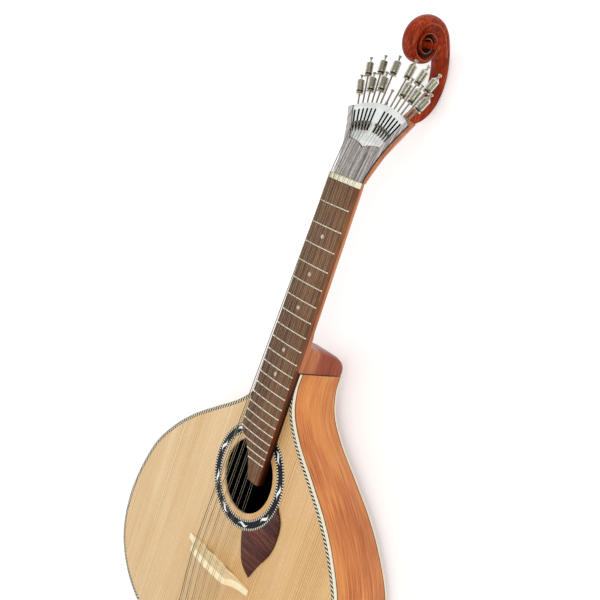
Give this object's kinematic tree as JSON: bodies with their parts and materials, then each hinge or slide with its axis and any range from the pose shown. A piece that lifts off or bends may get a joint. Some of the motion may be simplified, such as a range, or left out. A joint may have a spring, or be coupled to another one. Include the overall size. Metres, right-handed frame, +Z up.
{
  "type": "portuguese guitar",
  "caption": "Teardrop-bodied lute-like guitar with paired steel strings, a fan of tuning screws on the head and a carved scroll behind it.",
  "frame": {"origin": "on the floor plane under the middle of the instrument lying on its back: the bottom centre of its box", "axes": "+Y from the tail to the scroll, +Z up out of the soundboard, +X to the treble side"},
  "size_m": [0.3908, 0.7866, 0.1092],
  "materials": {
    "spruce": "thin satin varnish over fine straight grain",
    "mahogany": "satin varnish over open-pored reddish wood",
    "scroll_wood": "dark red-brown gloss varnish",
    "rosewood": "oiled dark rosewood",
    "veneer": "glossy varnish over long-grained rosewood",
    "lining": "bare sawn wood",
    "bone": "polished cream bone",
    "binding": "cream binding, lightly polished",
    "inlay": "dark band with pale pearl pieces, polished flush",
    "nickel": "worn nickel plating",
    "plate": "bright plating with fine engraving left bare",
    "steel": "plain drawn steel",
    "wound": "fine wound wrap"
  },
  "bodies": {
    "instrument": {"soundboard": "spruce", "back": "mahogany", "rib_treble": "mahogany", "rib_bass": "mahogany", "top_binding": "binding", "back_binding": "binding", "rosette": "inlay", "finger_plate": "rosewood", "neck_block": "lining", "tail_block": "lining", "top_brace_1": "lining", "top_brace_2": "lining", "back_brace_1": "lining", "back_brace_2": "lining", "neck": "mahogany", "scroll": "scroll_wood", "fingerboard": "rosewood", "nut": "bone", "bridge": "bone", "tail_saddle": "bone", "tailpiece": "nickel", "head_veneer": "veneer", "fan_plate": "plate", "fan_frame": "nickel", "string_1": "wound", "string_2": "wound", "string_3": "wound", "string_4": "steel", "string_5": "wound", "string_6": "steel", "string_7": "steel", "string_8": "steel", "string_9": "steel", "string_10": "steel", "string_11": "steel", "string_12": "steel"},
    "screw_1": {"tuning_screw_1": "nickel"},
    "screw_2": {"tuning_screw_2": "nickel"},
    "screw_3": {"tuning_screw_3": "nickel"},
    "screw_4": {"tuning_screw_4": "nickel"},
    "screw_5": {"tuning_screw_5": "nickel"},
    "screw_6": {"tuning_screw_6": "nickel"},
    "screw_7": {"tuning_screw_7": "nickel"},
    "screw_8": {"tuning_screw_8": "nickel"},
    "screw_9": {"tuning_screw_9": "nickel"},
    "screw_10": {"tuning_screw_10": "nickel"},
    "screw_11": {"tuning_screw_11": "nickel"},
    "screw_12": {"tuning_screw_12": "nickel"},
    "hook_1": {"string_hook_1": "nickel"},
    "hook_2": {"string_hook_2": "nickel"},
    "hook_3": {"string_hook_3": "nickel"},
    "hook_4": {"string_hook_4": "nickel"},
    "hook_5": {"string_hook_5": "nickel"},
    "hook_6": {"string_hook_6": "nickel"},
    "hook_7": {"string_hook_7": "nickel"},
    "hook_8": {"string_hook_8": "nickel"},
    "hook_9": {"string_hook_9": "nickel"},
    "hook_10": {"string_hook_10": "nickel"},
    "hook_11": {"string_hook_11": "nickel"},
    "hook_12": {"string_hook_12": "nickel"}
  },
  "joints": [
    {"name": "screw_turn_1", "type": "hinge", "parent": "instrument", "child": "screw_1", "pos_m": [-0.04226, 0.29141, 0.06946], "axis": [0.4226, -0.891, 0.1658], "range_deg": [-3600, 7200]},
    {"name": "hook_travel_1", "type": "slide", "parent": "instrument", "child": "hook_1", "axis": [-0.4226, 0.891, -0.1658], "range_m": [-0.007, 0.014], "deforming": ["string_1"]},
    {"name": "screw_turn_2", "type": "hinge", "parent": "instrument", "child": "screw_2", "pos_m": [-0.0358, 0.2941, 0.06896], "axis": [0.358, -0.9179, 0.1708], "range_deg": [-3600, 7200]},
    {"name": "hook_travel_2", "type": "slide", "parent": "instrument", "child": "hook_2", "axis": [-0.358, 0.9179, -0.1708], "range_m": [-0.007, 0.014], "deforming": ["string_2"]},
    {"name": "screw_turn_3", "type": "hinge", "parent": "instrument", "child": "screw_3", "pos_m": [-0.02917, 0.29634, 0.06855], "axis": [0.2917, -0.9404, 0.175], "range_deg": [-3600, 7200]},
    {"name": "hook_travel_3", "type": "slide", "parent": "instrument", "child": "hook_3", "axis": [-0.2917, 0.9404, -0.175], "range_m": [-0.007, 0.014], "deforming": ["string_3"]},
    {"name": "screw_turn_4", "type": "hinge", "parent": "instrument", "child": "screw_4", "pos_m": [-0.02239, 0.29812, 0.06822], "axis": [0.2239, -0.9582, 0.1783], "range_deg": [-3600, 7200]},
    {"name": "hook_travel_4", "type": "slide", "parent": "instrument", "child": "hook_4", "axis": [-0.2239, 0.9582, -0.1783], "range_m": [-0.007, 0.014], "deforming": ["string_4"]},
    {"name": "screw_turn_5", "type": "hinge", "parent": "instrument", "child": "screw_5", "pos_m": [-0.01551, 0.29943, 0.06797], "axis": [0.1551, -0.9712, 0.1807], "range_deg": [-3600, 7200]},
    {"name": "hook_travel_5", "type": "slide", "parent": "instrument", "child": "hook_5", "axis": [-0.1551, 0.9712, -0.1807], "range_m": [-0.007, 0.014], "deforming": ["string_5"]},
    {"name": "screw_turn_6", "type": "hinge", "parent": "instrument", "child": "screw_6", "pos_m": [-0.00854, 0.30026, 0.06782], "axis": [0.0854, -0.9795, 0.1823], "range_deg": [-3600, 7200]},
    {"name": "hook_travel_6", "type": "slide", "parent": "instrument", "child": "hook_6", "axis": [-0.0854, 0.9795, -0.1823], "range_m": [-0.007, 0.014], "deforming": ["string_6"]},
    {"name": "screw_turn_7", "type": "hinge", "parent": "instrument", "child": "screw_7", "pos_m": [0.00854, 0.30026, 0.06782], "axis": [-0.0854, -0.9795, 0.1823], "range_deg": [-3600, 7200]},
    {"name": "hook_travel_7", "type": "slide", "parent": "instrument", "child": "hook_7", "axis": [0.0854, 0.9795, -0.1823], "range_m": [-0.007, 0.014], "deforming": ["string_7"]},
    {"name": "screw_turn_8", "type": "hinge", "parent": "instrument", "child": "screw_8", "pos_m": [0.01551, 0.29943, 0.06797], "axis": [-0.1551, -0.9712, 0.1807], "range_deg": [-3600, 7200]},
    {"name": "hook_travel_8", "type": "slide", "parent": "instrument", "child": "hook_8", "axis": [0.1551, 0.9712, -0.1807], "range_m": [-0.007, 0.014], "deforming": ["string_8"]},
    {"name": "screw_turn_9", "type": "hinge", "parent": "instrument", "child": "screw_9", "pos_m": [0.02239, 0.29812, 0.06822], "axis": [-0.2239, -0.9582, 0.1783], "range_deg": [-3600, 7200]},
    {"name": "hook_travel_9", "type": "slide", "parent": "instrument", "child": "hook_9", "axis": [0.2239, 0.9582, -0.1783], "range_m": [-0.007, 0.014], "deforming": ["string_9"]},
    {"name": "screw_turn_10", "type": "hinge", "parent": "instrument", "child": "screw_10", "pos_m": [0.02917, 0.29634, 0.06855], "axis": [-0.2917, -0.9404, 0.175], "range_deg": [-3600, 7200]},
    {"name": "hook_travel_10", "type": "slide", "parent": "instrument", "child": "hook_10", "axis": [0.2917, 0.9404, -0.175], "range_m": [-0.007, 0.014], "deforming": ["string_10"]},
    {"name": "screw_turn_11", "type": "hinge", "parent": "instrument", "child": "screw_11", "pos_m": [0.0358, 0.2941, 0.06896], "axis": [-0.358, -0.9179, 0.1708], "range_deg": [-3600, 7200]},
    {"name": "hook_travel_11", "type": "slide", "parent": "instrument", "child": "hook_11", "axis": [0.358, 0.9179, -0.1708], "range_m": [-0.007, 0.014], "deforming": ["string_11"]},
    {"name": "screw_turn_12", "type": "hinge", "parent": "instrument", "child": "screw_12", "pos_m": [0.04226, 0.29141, 0.06946], "axis": [-0.4226, -0.891, 0.1658], "range_deg": [-3600, 7200]},
    {"name": "hook_travel_12", "type": "slide", "parent": "instrument", "child": "hook_12", "axis": [0.4226, 0.891, -0.1658], "range_m": [-0.007, 0.014], "deforming": ["string_12"]}
  ],
  "couplings": [
    {"joint": "hook_travel_1", "follows": "screw_turn_1", "m_per_rad": 0.00011141},
    {"joint": "hook_travel_2", "follows": "screw_turn_2", "m_per_rad": 0.00011141},
    {"joint": "hook_travel_3", "follows": "screw_turn_3", "m_per_rad": 0.00011141},
    {"joint": "hook_travel_4", "follows": "screw_turn_4", "m_per_rad": 0.00011141},
    {"joint": "hook_travel_5", "follows": "screw_turn_5", "m_per_rad": 0.00011141},
    {"joint": "hook_travel_6", "follows": "screw_turn_6", "m_per_rad": 0.00011141},
    {"joint": "hook_travel_7", "follows": "screw_turn_7", "m_per_rad": 0.00011141},
    {"joint": "hook_travel_8", "follows": "screw_turn_8", "m_per_rad": 0.00011141},
    {"joint": "hook_travel_9", "follows": "screw_turn_9", "m_per_rad": 0.00011141},
    {"joint": "hook_travel_10", "follows": "screw_turn_10", "m_per_rad": 0.00011141},
    {"joint": "hook_travel_11", "follows": "screw_turn_11", "m_per_rad": 0.00011141},
    {"joint": "hook_travel_12", "follows": "screw_turn_12", "m_per_rad": 0.00011141}
  ]
}
